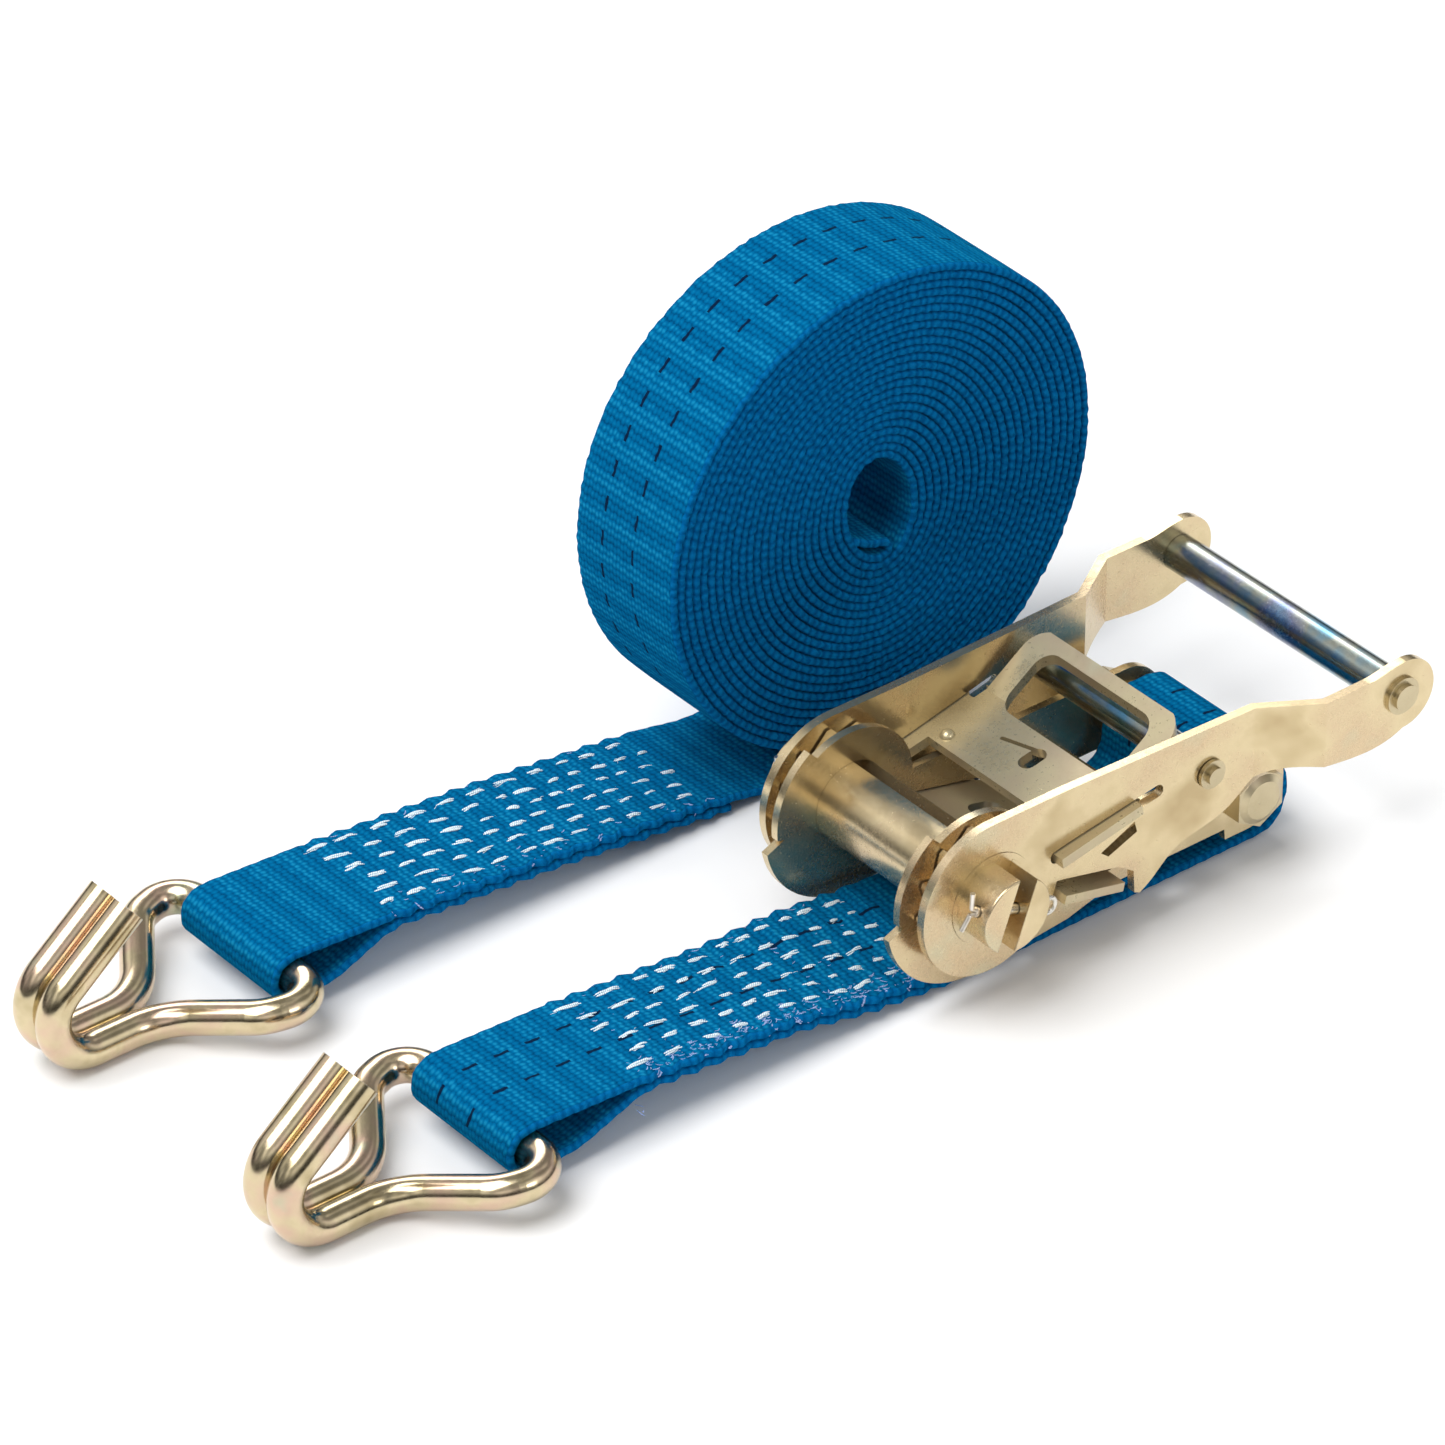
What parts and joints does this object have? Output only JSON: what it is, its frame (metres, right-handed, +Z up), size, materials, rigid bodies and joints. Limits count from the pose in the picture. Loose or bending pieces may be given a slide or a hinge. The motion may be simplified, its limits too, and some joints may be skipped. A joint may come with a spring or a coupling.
{
  "type": "ratchet lashing strap",
  "caption": "Two-piece ratchet strap: hooked short strap sewn to a lever ratchet with split drum and spring pawls, and a separate hooked long strap wound into a roll.",
  "frame": {"origin": "bottom centre of the laid-out set's bounding box, on the surface it lies on", "axes": "+X along the straps from the hooks towards the ratchet's grip, the longest extent of the set; +Y across the straps, from the short strap to the long strap; +Z up"},
  "size_m": [0.3007, 0.1524, 0.1263],
  "materials": {
    "zinc_steel": "yellowish zinc passivated steel, smooth and fairly shiny",
    "fastener_zinc": "zinc plated, satin",
    "bright_steel": "bright plated, mirror-like",
    "spring_steel": "drawn spring wire, bright",
    "webbing": "woven polyester webbing, strong mid blue, slight sheen",
    "thread": "white polyester lock stitching"
  },
  "bodies": {
    "ratchet_frame": {"base_frame": "zinc_steel", "fixed_bolt": "fastener_zinc", "fixed_nut": "fastener_zinc", "bolt_sleeve": "fastener_zinc", "short_strap": "webbing", "short_stitching": "thread", "lock_spring": "spring_steel"},
    "drum": {"spindle_half_left": "zinc_steel", "spindle_half_right": "zinc_steel", "ratchet_wheel_near": "zinc_steel", "ratchet_wheel_far": "zinc_steel", "cotter_pins": "spring_steel"},
    "handle": {"handle_plate_near": "zinc_steel", "handle_plate_far": "zinc_steel", "cross_tube": "bright_steel", "cross_rivet": "bright_steel", "grip_tube": "bright_steel", "grip_rivet": "bright_steel", "drive_spring_near": "spring_steel", "drive_spring_far": "spring_steel"},
    "drive_pawl_body": {"drive_pawl": "zinc_steel"},
    "lock_pawl_body": {"lock_pawl": "zinc_steel"},
    "short_hook_body": {"short_hook": "zinc_steel"},
    "long_strap_body": {"long_strap": "webbing", "long_stitching": "thread"},
    "long_hook_body": {"long_hook": "zinc_steel"}
  },
  "joints": [
    {"name": "drum_turn", "type": "hinge", "parent": "ratchet_frame", "child": "drum", "pos_m": [0.02945, -0.03546, 0.029], "axis": [0, -1, 0], "continuous": true},
    {"name": "handle_swing", "type": "hinge", "parent": "ratchet_frame", "child": "handle", "pos_m": [0.02945, -0.03546, 0.029], "axis": [0, -1, 0], "range_deg": [0, 150]},
    {"name": "drive_pawl_slide", "type": "slide", "parent": "handle", "child": "drive_pawl_body", "axis": [0.9816, 0, 0.1908], "range_m": [0, 0.006], "stiffness_N_per_m": 500, "springref_m": -0.004, "deforming": ["drive_spring_near", "drive_spring_far"]},
    {"name": "lock_pawl_slide", "type": "slide", "parent": "ratchet_frame", "child": "lock_pawl_body", "axis": [0.9744, 0, -0.225], "range_m": [0, 0.0035], "stiffness_N_per_m": 600, "springref_m": -0.004, "deforming": ["lock_spring"]},
    {"name": "short_hook_swing", "type": "hinge", "parent": "ratchet_frame", "child": "short_hook_body", "pos_m": [-0.08905, -0.03546, 0.01], "axis": [0, 1, 0], "range_deg": [0, 75]},
    {"name": "long_strap_carry", "type": "slide", "parent": "ratchet_frame", "child": "long_strap_body", "axis": [1, 0, 0], "range_m": [-0.05, 0.1]},
    {"name": "long_hook_swing", "type": "hinge", "parent": "long_strap_body", "child": "long_hook_body", "pos_m": [-0.09085, 0.04654, 0.01], "axis": [0, 1, 0], "range_deg": [0, 75]}
  ]
}
